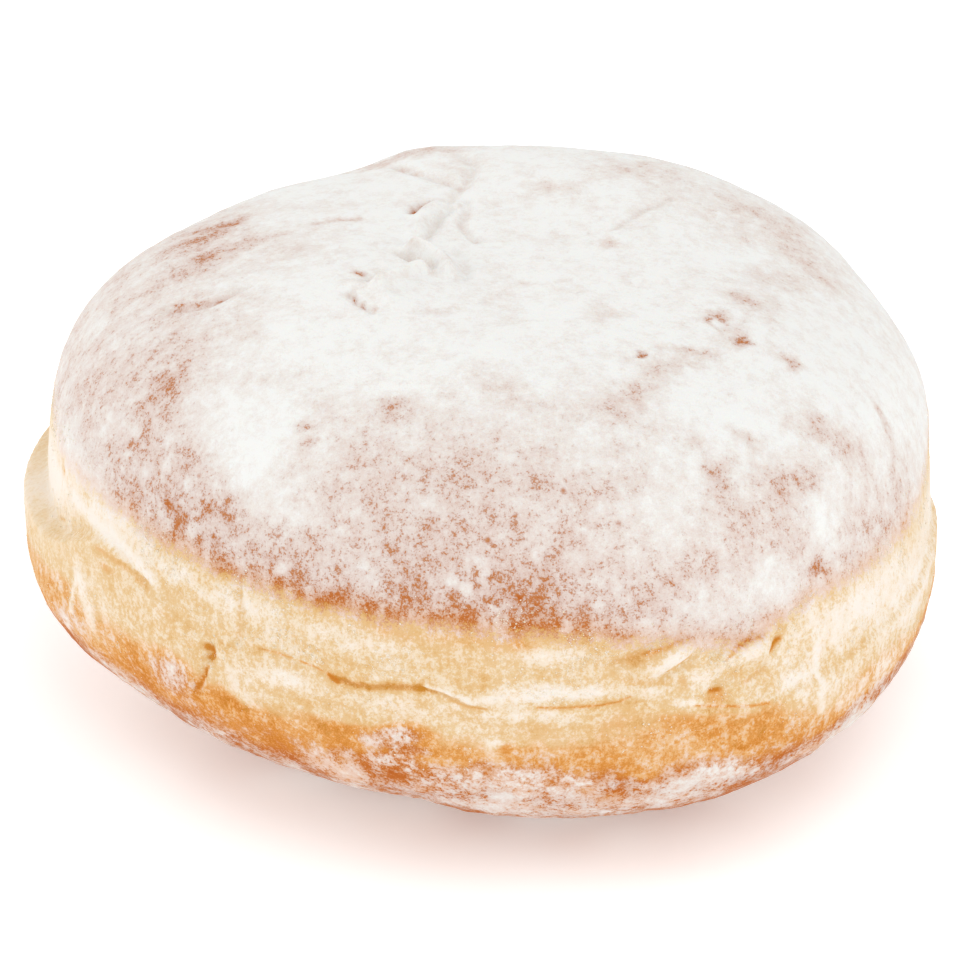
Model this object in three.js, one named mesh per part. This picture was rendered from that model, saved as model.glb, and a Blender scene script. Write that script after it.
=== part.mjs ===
// A filled yeast doughnut, fried whole: a flattened round bun with a broad crown, a pale belt round its
// waist and a domed underside that stands on a small flat spot. The filling is sealed inside, so the
// bun is one closed solid. Units are millimetres, +Z is up, and the origin is under the middle of the
// bun, on the plane it stands on. Azimuth 0 is +X and -90 is the front, elevations are seen from the
// middle of the waist.
import * as THREE from "three";

// Size and section of the bun. A power of 2 gives an elliptic section and more gives squarer shoulders.
const waistRadius = 46;
const crownHeight = 32.3; // from the waist up
const crownPower = 3.2;
const baseDepth = 18.7; // from the waist down, before the flat spot is cut
const basePower = 2.2;
const standHeight = 17.4; // from the plane it stands on up to the waist
const leanRight = -1.6; // rise of the waist at its right edge
const leanBack = -1.2; // rise of the waist at its back edge

// Plan of the waist: lobes round the bun, share of the radius, azimuth of the first lobe in degrees.
const planWaves = [
  { lobes: 2, share: 0.034, azimuth: -14 },
  { lobes: 3, share: 0.036, azimuth: 51 },
];

// Swells (+) and dents (-) of the rise: azimuth, elevation and spread in degrees, height in mm.
const swells = [
  [90, 42, 20, 3.1], // back of the crown
  [55, 42, 20, 3.1],
  [106, 44, 7, 1.2], // step where the back swell begins
  [30, 30, 18, 1.5], // right shoulder
  [12, 18, 12, 1.3],
  [168, 28, 12, 0.5], // left shoulder
  [130, 34, 8, 0.5],
  [-10, 14, 12, -0.5], // right side
  [-60, -18, 12, 0.7], // underside at the front
  [-103, -20, 6, -1.4],
  [-120, -16, 12, -0.5],
  [-150, -10, 12, -0.7],
];

// Fine unevenness of proved dough: waves per unit along x, y and z of the direction, height in mm.
const doughWaves = [
  [7, 3, 5, 0.14],
  [-4, 9, 2, 0.12],
  [5, -6, 11, 0.1],
  [12, 8, -6, 0.08],
  [-11, 6, 13, 0.07],
];

// The seam round the waist, where the two fried halves meet. Elevations and spreads are in degrees.
const seamElevation = 5.6;
const seamRises = [
  [-149, 11, 6.6], // azimuth, spread, rise
  [-98, 6, 1.2],
  [-77, 6, 1],
  [-56, 14, -2.1],
  [-8, 13, 0.9],
  [36, 12, 1.8],
  [62, 9, -1.1],
  [98, 14, 2.4],
  [134, 10, -1.3],
  [158, 8, 1.2],
];
const crownInset = 0.3; // the crown stands back from the lower half by this
const crownShift = -0.35; // and is pushed to the left by this
const ledges = [
  [180, 26, 2.6], // azimuth, spread, depth of the shelf where the lower half sticks out
  [84, 20, 1.1],
  [18, 12, 0.5],
];
const ledgeRise = 1.4; // height over which a shelf runs in

// The crack in the seam: its depth and lip fade in and out along these stretches.
const crackDepth = 1.5;
const crackHalfWidth = 0.6;
const crackLip = 0.7; // the upper lip bulges out
const crackLipAt = 1.5; // its height over the crack
const crackDroop = 0.4; // and hangs down over the crack
const crackFaint = 0.2; // share of the depth that is left elsewhere
const crackStretches = [
  [-105, 12, 0.8], // azimuth, spread, strength
  [-122, 7, 0.35],
  [-82, 11, 0.45],
  [-60, 7, 0.4],
  [-22, 9, 0.4],
  [43, 11, 0.6],
  [112, 9, 0.4],
  [147, 7, 0.5],
];

// Ridges (+) and creases (-) of the crown, drawn in plan: path in mm, height and half width in mm.
const crownFolds = [
  { path: [[-7, 3], [-6, 1], [-4.6, -1.5], [-4.2, -5]], height: 1, halfWidth: 1 },
  { path: [[-6.5, -3.5], [-9, -6], [-11.5, -9]], height: 0.8, halfWidth: 0.9 },
  { path: [[-6, -3.4], [-6.4, -2]], height: -0.8, halfWidth: 0.9 },
  { path: [[-4.5, 12], [-6, 9], [-7, 4.5]], height: -0.6, halfWidth: 1 },
  { path: [[-6, 12.5], [-7.8, 8.5]], height: 0.5, halfWidth: 1 },
  { path: [[-2.8, 14], [-3.4, 7.5], [-1.8, 4]], height: -0.5, halfWidth: 0.9 },
  { path: [[-2, 23], [-3, 18], [-4.5, 14]], height: -0.6, halfWidth: 0.9 },
  { path: [[-10, 24.5], [-7, 21], [-4, 18]], height: -0.7, halfWidth: 0.9 },
  { path: [[-8.5, 12], [-7.5, 13], [-5, 14]], height: -0.9, halfWidth: 0.8 },
  { path: [[-14.5, -10], [-13.6, -12], [-12, -13.5]], height: -0.7, halfWidth: 0.8 },
  { path: [[-33, -5], [-28.5, -7], [-25, -5]], height: -0.7, halfWidth: 0.9 },
  { path: [[12.5, 7.5], [15, 11], [18.5, 15]], height: -0.6, halfWidth: 0.9 },
];

// Folds of the belt, drawn unrolled: azimuth in degrees and height over the standing plane in mm.
const beltFolds = [
  { path: [[-130, 23], [-131.5, 20], [-133, 17]], height: -1, halfWidth: 0.7 }, // short split
  { path: [[-125, 30], [-124, 27], [-125, 24.5]], height: -0.5, halfWidth: 0.8 },
  { path: [[-72, 26], [-69, 27.5], [-66.5, 28.5]], height: 0.9, halfWidth: 1.2 }, // rolled edge of a fold
  { path: [[-75, 27.2], [-71, 28.6], [-67, 30.2]], height: -0.9, halfWidth: 0.7 },
  { path: [[-67.5, 24.4], [-65.5, 27]], height: -0.8, halfWidth: 0.7 },
  { path: [[-61, 25], [-59, 26]], height: 0.8, halfWidth: 1.6 }, // rounded lump
  { path: [[-62.5, 26.5], [-60, 28], [-57, 28.6]], height: -0.7, halfWidth: 0.7 },
  { path: [[-62, 22.8], [-61, 23]], height: -1, halfWidth: 0.9 },
  { path: [[-57, 23], [-56, 24]], height: -0.7, halfWidth: 0.8 },
  { path: [[-54.5, 25], [-53.5, 27]], height: -1, halfWidth: 0.8 },
  { path: [[-48, 31], [-48, 27]], height: -0.4, halfWidth: 0.9 },
  { path: [[-101, 9], [-99, 9.5]], height: -0.7, halfWidth: 1.2 }, // notch under the front
];

// Mesh: columns stand closer together at the front, and rows follow the seam.
const columnCount = 96;
const frontCrowding = 0.38;
const baseRows = 9;
const seamRows = [-9, -6.6, -4.6, -3, -1.9, -1, -0.4, 0, 0.5, 1.1, 1.9, 3, 4.5, 6.3, 8.4]; // degrees off the seam
const crownRows = 24;
const crownCrowding = 1.35; // more draws the rows towards the top

const crustColor = 0xe3c9b4;
const crustRoughness = 0.85;

const radians = THREE.MathUtils.degToRad;
const mix = THREE.MathUtils.lerp;
const smooth = THREE.MathUtils.smoothstep;

// A bell curve of height 1 that falls to 1/e at the given spread.
function bell(distance, spread) {
  return Math.exp(-((distance / spread) ** 2));
}

// Smallest angle between two azimuths in degrees.
function turnBetween(a, b) {
  return THREE.MathUtils.euclideanModulo(a - b + 180, 360) - 180;
}

// Sum of bells along the azimuth, from rows of azimuth, spread and strength.
function bellsAlong(azimuth, rows) {
  return rows.reduce((sum, [centre, spread, strength]) => {
    return sum + strength * bell(turnBetween(azimuth, centre), spread);
  }, 0);
}

function directionOf(azimuth, elevation) {
  const a = radians(azimuth);
  const e = radians(elevation);
  return new THREE.Vector3(Math.cos(e) * Math.cos(a), Math.cos(e) * Math.sin(a), Math.sin(e));
}

function planRadius(azimuth) {
  const swing = planWaves.map((w) => w.share * Math.cos(w.lobes * radians(azimuth - w.azimuth)));
  return waistRadius * (1 + swing.reduce((a, b) => a + b, 0));
}

// Section of the bun at an azimuth: radius and height where a ray of that elevation leaves it.
function section(azimuth, elevation) {
  const power = elevation > 0 ? crownPower : basePower;
  const reach = elevation > 0 ? crownHeight : baseDepth;
  const across = Math.abs(Math.cos(radians(elevation))) / planRadius(azimuth);
  const up = Math.abs(Math.sin(radians(elevation))) / reach;
  const length = (across ** power + up ** power) ** (-1 / power);
  return { r: length * Math.cos(radians(elevation)), z: length * Math.sin(radians(elevation)) };
}

function seamAt(azimuth) {
  return seamElevation + bellsAlong(azimuth, seamRises);
}

function crackAt(azimuth) {
  return Math.min(1, crackFaint + bellsAlong(azimuth, crackStretches));
}

// Outward slope of the smooth section: radial and upward parts of its normal.
function sectionNormal(azimuth, { r, z }) {
  const power = z > 0 ? crownPower : basePower;
  const reach = z > 0 ? crownHeight : baseDepth;
  const radius = planRadius(azimuth);
  const out = (Math.max(r, 0) / radius) ** (power - 1) / radius;
  const up = (Math.sign(z) * (Math.abs(z) / reach) ** (power - 1)) / reach;
  return new THREE.Vector2(out, up).normalize();
}

// Distance from a plane point to a path of points.
function distanceToPath(point, path) {
  const corners = path.map(([x, y]) => new THREE.Vector3(x, y, 0));
  const nearest = new THREE.Vector3();
  let best = Infinity;
  for (let i = 1; i < corners.length; i++) {
    new THREE.Line3(corners[i - 1], corners[i]).closestPointToPoint(point, true, nearest);
    best = Math.min(best, nearest.distanceTo(point));
  }
  return best;
}

function reliefOf(folds, point) {
  return folds.reduce((sum, { path, height, halfWidth }) => {
    return sum + height * bell(distanceToPath(point, path), halfWidth);
  }, 0);
}

// Belt folds with their azimuths unrolled to millimetres round the waist.
const millimetresPerDegree = radians(waistRadius);
const unrolledFolds = beltFolds.map((fold) => {
  return { ...fold, path: fold.path.map(([azimuth, z]) => [azimuth * millimetresPerDegree, z]) };
});

// Height of all folds at a point of the smooth bun.
function foldsAt(azimuth, p) {
  const onCrown = smooth(p.z, crownHeight - 7, crownHeight - 4);
  const plan = new THREE.Vector3(p.x, p.y, 0);
  const unrolled = new THREE.Vector3(turnBetween(azimuth, 0) * millimetresPerDegree, p.z + standHeight, 0);
  const crown = onCrown > 0 ? onCrown * reliefOf(crownFolds, plan) : 0;
  const belt = onCrown < 1 ? (1 - onCrown) * reliefOf(unrolledFolds, unrolled) : 0;
  return crown + belt;
}

function doughAt(u) {
  return doughWaves.reduce((sum, [x, y, z, height]) => sum + height * Math.sin(x * u.x + y * u.y + z * u.z), 0);
}

// A point of the surface. The smooth bun leans, steps in above the seam and swells, then the crack,
// the folds and the fine unevenness lift it along its normal.
function surfacePoint(azimuth, elevation) {
  const { r, z } = section(azimuth, elevation);
  const n = sectionNormal(azimuth, { r, z });
  const a = radians(azimuth);
  const aboveSeam = radians(elevation - seamAt(azimuth)) * Math.hypot(r, z);
  const upper = smooth(aboveSeam, -ledgeRise / 2, ledgeRise / 2);
  const inset = (crownInset + bellsAlong(azimuth, ledges)) * upper * Math.min(1, r / (waistRadius / 2));

  const crack = crackAt(azimuth);
  const groove = -crackDepth * crack * bell(aboveSeam, crackHalfWidth);
  const lip = crackLip * crack * bell(aboveSeam - crackLipAt, crackLipAt);
  const droop = crackDroop * crack * bell(aboveSeam - crackHalfWidth, crackHalfWidth);

  const across = r - inset;
  const p = new THREE.Vector3(across * Math.cos(a) + crownShift * upper, across * Math.sin(a), z);
  const leaning = smooth(z, -baseDepth, 0);
  p.z += (leaning * (leanRight * p.x + leanBack * p.y)) / waistRadius;
  const u = p.clone().normalize();
  for (const [atAzimuth, atElevation, spread, height] of swells) {
    const apart = u.distanceTo(directionOf(atAzimuth, atElevation));
    p.addScaledVector(u, height * bell(apart, radians(spread)));
  }

  const lift = groove + lip + foldsAt(azimuth, p) + doughAt(u);
  const outward = new THREE.Vector3(n.x * Math.cos(a), n.x * Math.sin(a), n.y);
  p.addScaledVector(outward, lift * leaning);
  p.z += standHeight - droop;
  return p;
}

// Elevations from the seam's last row up to the top, spaced along the section's length.
function crownElevations(from) {
  const fine = 400;
  const samples = Array.from({ length: fine + 1 }, (_, i) => mix(90, from, i / fine));
  const points = samples.map((e) => {
    const { r, z } = section(0, e);
    return new THREE.Vector2(r, z);
  });
  const lengths = [0];
  for (let i = 1; i <= fine; i++) lengths.push(lengths[i - 1] + points[i].distanceTo(points[i - 1]));
  const rows = [];
  for (let row = crownRows - 1; row > 0; row--) {
    const wanted = lengths[fine] * (row / crownRows) ** crownCrowding;
    rows.push(samples[lengths.findIndex((length) => length >= wanted)]);
  }
  return rows;
}

// Elevations of one column of the mesh, from the edge of the flat spot up to the last row below the top.
const crownTable = crownElevations(seamElevation + seamRows.at(-1));
function columnElevations(azimuth) {
  const seam = seamAt(azimuth);
  const flatRadius = planRadius(azimuth) * (1 - (standHeight / baseDepth) ** basePower) ** (1 / basePower);
  const flatEdge = THREE.MathUtils.radToDeg(Math.atan2(-standHeight, flatRadius));
  const base = Array.from({ length: baseRows }, (_, i) => mix(flatEdge, seam + seamRows[0], i / baseRows));
  const belt = seamRows.map((offset) => seam + offset);
  const tableStart = seamElevation + seamRows.at(-1);
  const crown = crownTable.map((e) => mix(90, belt.at(-1), (90 - e) / (90 - tableStart)));
  return [...base, ...belt, ...crown];
}

// The closed surface: a fan for the flat spot, rings of quads and a fan at the top.
function doughnutGeometry() {
  const positions = [0, 0, 0];
  const rowCount = baseRows + seamRows.length + crownRows - 1;
  for (let column = 0; column < columnCount; column++) {
    const turn = (2 * Math.PI * column) / columnCount;
    const azimuth = THREE.MathUtils.radToDeg(turn - frontCrowding * Math.cos(turn));
    columnElevations(azimuth).forEach((elevation, row) => {
      const p = surfacePoint(azimuth, elevation);
      positions.push(p.x, p.y, row === 0 ? 0 : Math.max(p.z, 0));
    });
  }
  positions.push(...surfacePoint(0, 90).toArray());

  const top = positions.length / 3 - 1;
  const at = (column, row) => 1 + (column % columnCount) * rowCount + row;
  const triangles = [];
  for (let c = 0; c < columnCount; c++) {
    triangles.push(0, at(c + 1, 0), at(c, 0));
    for (let row = 1; row < rowCount; row++) {
      triangles.push(at(c, row - 1), at(c + 1, row - 1), at(c + 1, row));
      triangles.push(at(c, row - 1), at(c + 1, row), at(c, row));
    }
    triangles.push(at(c, rowCount - 1), at(c + 1, rowCount - 1), top);
  }
  const geometry = new THREE.BufferGeometry();
  geometry.setAttribute("position", new THREE.Float32BufferAttribute(positions, 3));
  geometry.setIndex(triangles);
  return geometry;
}

// The bun is moved so that its box is centred over the origin.
function centredOnBase(geometry) {
  geometry.computeBoundingBox();
  const middle = geometry.boundingBox.getCenter(new THREE.Vector3());
  return geometry.translate(-middle.x, -middle.y, 0);
}

const doughnut = new THREE.Mesh(
  centredOnBase(doughnutGeometry()),
  new THREE.MeshStandardMaterial({ color: crustColor, roughness: crustRoughness, metalness: 0 }),
);
doughnut.name = "doughnut";
doughnut.geometry.computeVertexNormals();

const group = new THREE.Group();
group.add(doughnut);

export default group;
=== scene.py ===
import math

import bpy
import numpy as np
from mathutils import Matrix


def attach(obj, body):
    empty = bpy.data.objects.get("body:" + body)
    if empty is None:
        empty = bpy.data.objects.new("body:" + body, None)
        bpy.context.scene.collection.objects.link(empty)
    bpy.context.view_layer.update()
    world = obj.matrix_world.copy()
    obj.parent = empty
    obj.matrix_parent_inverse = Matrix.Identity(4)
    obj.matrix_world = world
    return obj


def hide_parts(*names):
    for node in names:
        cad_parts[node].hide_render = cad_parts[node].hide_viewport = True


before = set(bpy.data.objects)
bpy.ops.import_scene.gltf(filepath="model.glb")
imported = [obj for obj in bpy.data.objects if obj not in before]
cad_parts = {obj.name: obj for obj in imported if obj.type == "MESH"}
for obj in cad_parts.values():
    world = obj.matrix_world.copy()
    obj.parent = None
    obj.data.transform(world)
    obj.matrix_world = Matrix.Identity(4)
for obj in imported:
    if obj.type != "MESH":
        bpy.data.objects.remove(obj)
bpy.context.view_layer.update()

mm = 0.001  # lengths below are millimetres, the meshes are metres

# The bun's form: a flattened round, squarer above than below, as seen from the middle of its waist.
# Azimuth 0 is +X and -90 is the front.
bun = {
    "waistRadius": 46.0,
    "crownHeight": 32.3,
    "crownPower": 3.2,
    "baseDepth": 18.7,
    "basePower": 2.2,
    "standHeight": 17.4,
    "leanRight": -1.6,
    "leanBack": -1.2,
    "crownInset": 0.3,
    "crownShift": -0.35,
    "planWaves": [(2, 0.034, -14), (3, 0.036, 51)],  # lobes, share of the radius, azimuth
    "swells": [  # azimuth, elevation, spread, height
        (90, 42, 20, 3.1), (55, 42, 20, 3.1), (106, 44, 7, 1.2), (30, 30, 18, 1.5),
        (12, 18, 12, 1.3), (168, 28, 12, 0.5), (130, 34, 8, 0.5), (-10, 14, 12, -0.5),
        (-60, -18, 12, 0.7), (-103, -20, 6, -1.4), (-120, -16, 12, -0.5), (-150, -10, 12, -0.7),
    ],
    "doughWaves": [  # waves along x, y and z of the direction, height
        (7, 3, 5, 0.14), (-4, 9, 2, 0.12), (5, -6, 11, 0.1), (12, 8, -6, 0.08), (-11, 6, 13, 0.07),
    ],
}
mmPerDegree = math.radians(bun["waistRadius"])  # along the waist

# Unevenness of shapes and painting: height, width in mm and seed, and layers where not three.
unevenness = {
    "seam": (0.3, 2.4, 11),
    "seamFine": (0.14, 0.7, 15),
    "crownWarp": (2, 7, 21),  # shifts of the painting
    "crownFray": (1.5, 2.4, 25),
    "sideWarp": (0.9, 4, 81),
    "thinFrom": (5, 12, 41),
    "crustEdge": (0.7, 3, 51),
    "wornRim": (1.6, 1, 55),
    "giltRim": (0.6, 2.5, 57),
    "baseEdge": (1.2, 5, 61),
    "tone": (0.4, 5, 65),
    "cover": (1, 4, 71),
    "foot": (1.6, 6, 75),
    "flute": (0.14, (1.5, 1.5, 6), 101, 2),  # upright wrinkles of the belt
    "dough": (0.14, 2.6, 111, 2),
    "sugar": (0.1, 1.6, 121),
    "grains": (1, 3.2, 141),  # their clusters
}
noiseCells = 64  # the noise repeats after this many cells

# The seam round the waist, its shelves and its crack: azimuth, spread and strength of each stretch.
seam = {
    "elevation": 5.6,
    "rises": [
        (-149, 11, 6.6), (-119, 8, 1.3), (-99, 5.5, 1.2), (-90, 4, -0.8), (-74, 6, 1),
        (-56, 14, -2.1), (-8, 13, 0.9), (36, 12, 1.8), (62, 9, -1.1), (98, 14, 2.4),
        (134, 10, -1.3), (158, 8, 1.2),
    ],
    "wander": (5, 12),  # where the seam's noise is strongest: elevation, spread
    "ledges": [(180, 26, 2.6), (84, 20, 1.1), (18, 12, 0.5)],
    "ledgeRise": 1.4,
    "crackDepth": 0.16,
    "crackHalfWidth": 0.26,
    "crackLip": 0.36,
    "crackLipAt": 1.5,
    "crackDroop": 0.16,
    "crackFaint": 0.05,
    "crackStretches": [
        (-108.5, 3, 1.0), (-102, 4.5, 0.9), (-96, 3.5, 0.5), (-119, 4, 0.2), (-129, 5, 0.12),
        (-79, 5, 0.12), (-73, 3, 0.1), (-63, 4, 0.3), (-52, 3, 0.2), (-41, 4, 0.3), (-22, 9, 0.25),
        (43, 11, 0.6), (112, 9, 0.4), (147, 7, 0.5),
    ],
}

# Folds of the crown in plan and of the belt unrolled: path, height and half width.
folds = {
    "crown": [
        ([(-8, 1.6), (-6.5, 0), (-5.2, -2.2), (-4.6, -4.6)], 1.4, 0.85),
        ([(-7.2, -4.2), (-8.5, -5.5), (-9.8, -7.2), (-11.4, -8.8)], 1.25, 0.75),
        ([(-6.6, -3.4), (-7.6, -2), (-9.2, 0.2)], -1.05, 0.7),
        ([(-4, 1.4), (-3, -1.6), (-2.9, -5)], -0.48, 0.7), ([(-10.2, -5), (-12.4, -6.8)], -0.45, 0.8),
        ([(-4.5, 12), (-5.6, 10), (-6.2, 7.5), (-7, 4.5)], -0.62, 0.6),
        ([(-6, 12.5), (-7.4, 9), (-8, 6)], 0.62, 1.0),
        ([(-2.8, 14), (-3.2, 10), (-3.4, 7.5), (-1.8, 4)], -0.48, 0.6),
        ([(-3, 26), (-2, 23), (-3, 18), (-4.5, 14)], -0.51, 0.7),
        ([(-10, 24.5), (-7, 21), (-4, 18)], -0.51, 0.7),
        ([(-8.5, 11.5), (-8, 12.8), (-6.5, 13.4), (-5, 14)], -0.64, 0.5),
        ([(-14.5, -10), (-13.6, -12), (-12, -13.5)], -0.51, 0.5),
        ([(-14, -8.4), (-11.6, -9.6), (-10.6, -11.4)], 0.45, 1.0),
        ([(-33, -5), (-30.5, -6.6), (-28.5, -7), (-25, -5)], -0.64, 0.6),
        ([(12.5, 7.5), (15, 11), (18.5, 15)], -0.32, 0.5),
    ],
    "belt": [
        ([(-130, 22.9), (-130.4, 21.8)], -0.6, 0.6),
        ([(-130.8, 21), (-131.5, 19.5), (-133, 17)], -0.5, 0.5),
        ([(-125, 30), (-124, 27), (-125, 24.5)], -0.3, 0.6),
        ([(-72, 26.2), (-69, 27.3), (-66.5, 28)], 0.7, 1.1),
        ([(-75, 27), (-71, 28.4), (-67, 29.6)], -0.4, 0.7), ([(-69, 25.4), (-65.8, 26.9)], -0.3, 0.5),
        ([(-62, 25.4), (-58, 26.4), (-56, 25.8)], 0.5, 1.2),
        ([(-63, 26.6), (-60, 27.6), (-56, 27.4)], -0.35, 0.5), ([(-63, 23.2), (-61, 23.2)], -0.3, 0.6),
        ([(-58, 23), (-56, 24)], -0.3, 0.6), ([(-54.6, 25.4), (-54, 26.3)], -0.35, 0.5),
        ([(-66, 22), (-60, 21), (-54, 20.4)], 0.3, 1.0), ([(-101, 9), (-99, 9.5)], -0.7, 0.9),
    ],
    "crownFrom": 7.0,  # the plan folds fade in from this far below the crown's top
    "crownTo": 4.0,
}

grid = {
    "columns": 496,
    "frontCrowding": 0.38,
    "baseRows": 30,
    "baseCrowding": 0.8,
    "beltRows": 70,
    "crownRows": 98,
    "beltBelow": -9.0,  # degrees off the seam
    "beltAbove": 8.4,
    "beltCrowding": 1.6,
    "crownCrowding": 1.1,
    "crownSteps": 2000,  # for measuring along the section
    "sideSteps": 4000,
}


def smooth(x, low, high):
    # 0 below low, 1 above high, an S curve between
    t = np.clip((x - low) / (high - low), 0, 1)
    return t * t * (3 - 2 * t)


def bell(distance, spread):
    # 1 at distance 0, falling to 1/e at the spread
    return np.exp(-((distance / spread) ** 2))


def unit(vectors):
    # vectors of length 1
    return vectors / np.linalg.norm(vectors, axis=-1, keepdims=True)


def turnBetween(a, b):
    # smallest angle from b to a in degrees
    return (a - b + 180) % 360 - 180


def bellsAlong(azimuth, stretches):
    # sum of bells along the azimuth
    return sum(height * bell(turnBetween(azimuth, at), spread) for at, spread, height in stretches)


def latticeNoise(points, cell, seed):
    # random values on a cubic lattice, blended between its corners with an S curve, from -1 to 1
    table = np.random.default_rng(seed).uniform(-1, 1, 3 * (noiseCells,))
    place = np.asarray(points) / np.asarray(cell)
    corner = np.floor(place).astype(int)
    t = place - corner
    t = t * t * (3 - 2 * t)
    total = 0
    for step in np.ndindex(2, 2, 2):
        share = np.abs(1 - np.array(step) - t).prod(axis=-1)
        x, y, z = np.moveaxis((corner + step) % noiseCells, -1, 0)
        total = total + share * table[x, y, z]
    return total


def layeredNoise(points, cell, seed, layers=3):
    # each layer has half the cell and half the height of the one before
    parts = [latticeNoise(points, np.asarray(cell) / 2**i, seed + i) / 2**i for i in range(layers)]
    return sum(parts) / (2 - 0.5 ** (layers - 1))


def uneven(points, name, shift=0):
    # layered noise times the height of the named row
    height, cell, seed, *layers = unevenness[name]
    return height * layeredNoise(points, cell, seed + shift, *layers)


def swaying(points, name):
    # two noises with different seeds, to shift the two coordinates of a painting
    return np.stack([uneven(points, name, shift) for shift in (0, 10)])


def direction(azimuth, elevation):
    # unit vector: cosine of the elevation times cosine and sine of the azimuth, sine of the elevation
    a, e = np.radians(azimuth), np.radians(elevation)
    return np.stack([np.cos(e) * np.cos(a), np.cos(e) * np.sin(a), np.sin(e)], axis=-1)


def planRadius(azimuth):
    # the waist's radius times 1 plus a cosine for each plan wave
    waves = bun["planWaves"]
    swing = sum(share * np.cos(lobes * np.radians(azimuth - at)) for lobes, share, at in waves)
    return bun["waistRadius"] * (1 + swing)


def powerAndReach(up):
    # the section's power and reach: the crown's where up is positive, the base's elsewhere
    power = np.where(up > 0, bun["crownPower"], bun["basePower"])
    return power, np.where(up > 0, bun["crownHeight"], bun["baseDepth"])


def section(azimuth, elevation):
    # where a ray of that elevation leaves the superellipse |r / radius|^p + |z / reach|^p = 1
    power, reach = powerAndReach(elevation)
    flat, rise = np.cos(np.radians(elevation)), np.sin(np.radians(elevation))
    across, up = np.abs(flat) / planRadius(azimuth), np.abs(rise) / reach
    length = (across**power + up**power) ** (-1 / power)
    return length * flat, length * rise


def lengthAlong(elevations):
    # distance along the mean section, from the first of the elevations
    r, z = section(0, elevations)
    return np.concatenate([[0], np.cumsum(np.hypot(np.diff(r), np.diff(z)))])


def seamAt(azimuth):
    # the seam's elevation: its mean plus the bells of its rises
    return seam["elevation"] + bellsAlong(azimuth, seam["rises"])


def distanceToPath(x, y, path, scale=1):
    # smallest distance from points of a plane to the straight stretches of a path, whose first
    # coordinate is multiplied by the scale
    best = np.full(np.shape(x), np.inf)
    corners = [(px * scale, py) for px, py in path]
    for (ax, ay), (bx, by) in zip(corners[:-1], corners[1:]):
        length2 = (bx - ax) ** 2 + (by - ay) ** 2
        t = np.clip(((x - ax) * (bx - ax) + (y - ay) * (by - ay)) / length2, 0, 1)
        best = np.minimum(best, np.hypot(x - ax - t * (bx - ax), y - ay - t * (by - ay)))
    return best


def foldHeights(x, y, rows, scale=1):
    # sum of rounded ridges and grooves: height times a bell of the distance to the path
    return sum(h * bell(distanceToPath(x, y, path, scale), half) for path, h, half in rows)


def gridDirections():
    # Azimuth and elevation of every grid point. The columns crowd at the front by a cosine of the
    # turn. The rows start at the flat underside, crowd at the seam by a hyperbolic sine, and are
    # spaced along the crown by a power of their share of its length.
    turn = np.arange(grid["columns"]) * 2 * np.pi / grid["columns"]
    azimuth = np.degrees(turn - grid["frontCrowding"] * np.cos(turn))
    seamLine = seamAt(azimuth)
    depthShare = (bun["standHeight"] / bun["baseDepth"]) ** bun["basePower"]
    flatRadius = planRadius(azimuth) * (1 - depthShare) ** (1 / bun["basePower"])
    flatEdge = np.degrees(np.arctan2(-bun["standHeight"], flatRadius))

    u = np.linspace(-1, 1, grid["beltRows"])
    spread = np.sinh(grid["beltCrowding"] * u) / math.sinh(grid["beltCrowding"])
    offsets = np.where(u < 0, -grid["beltBelow"], grid["beltAbove"]) * spread
    t = np.linspace(0, 1, grid["baseRows"], endpoint=False)[:, None] ** grid["baseCrowding"]
    base = flatEdge + t * (seamLine + offsets[0] - flatEdge)
    belt = seamLine + offsets[:, None]

    crownEdge = seam["elevation"] + grid["beltAbove"]
    fine = np.linspace(90, crownEdge, grid["crownSteps"])
    length = lengthAlong(fine)
    share = (np.arange(grid["crownRows"] - 1, 0, -1) / grid["crownRows"]) ** grid["crownCrowding"]
    table = np.interp(length[-1] * share, length, fine)
    dome = 90 - (90 - belt[-1]) * ((90 - table) / (90 - crownEdge))[:, None]
    elevation = np.concatenate([base, belt, dome])
    return np.broadcast_to(azimuth, elevation.shape), elevation


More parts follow.
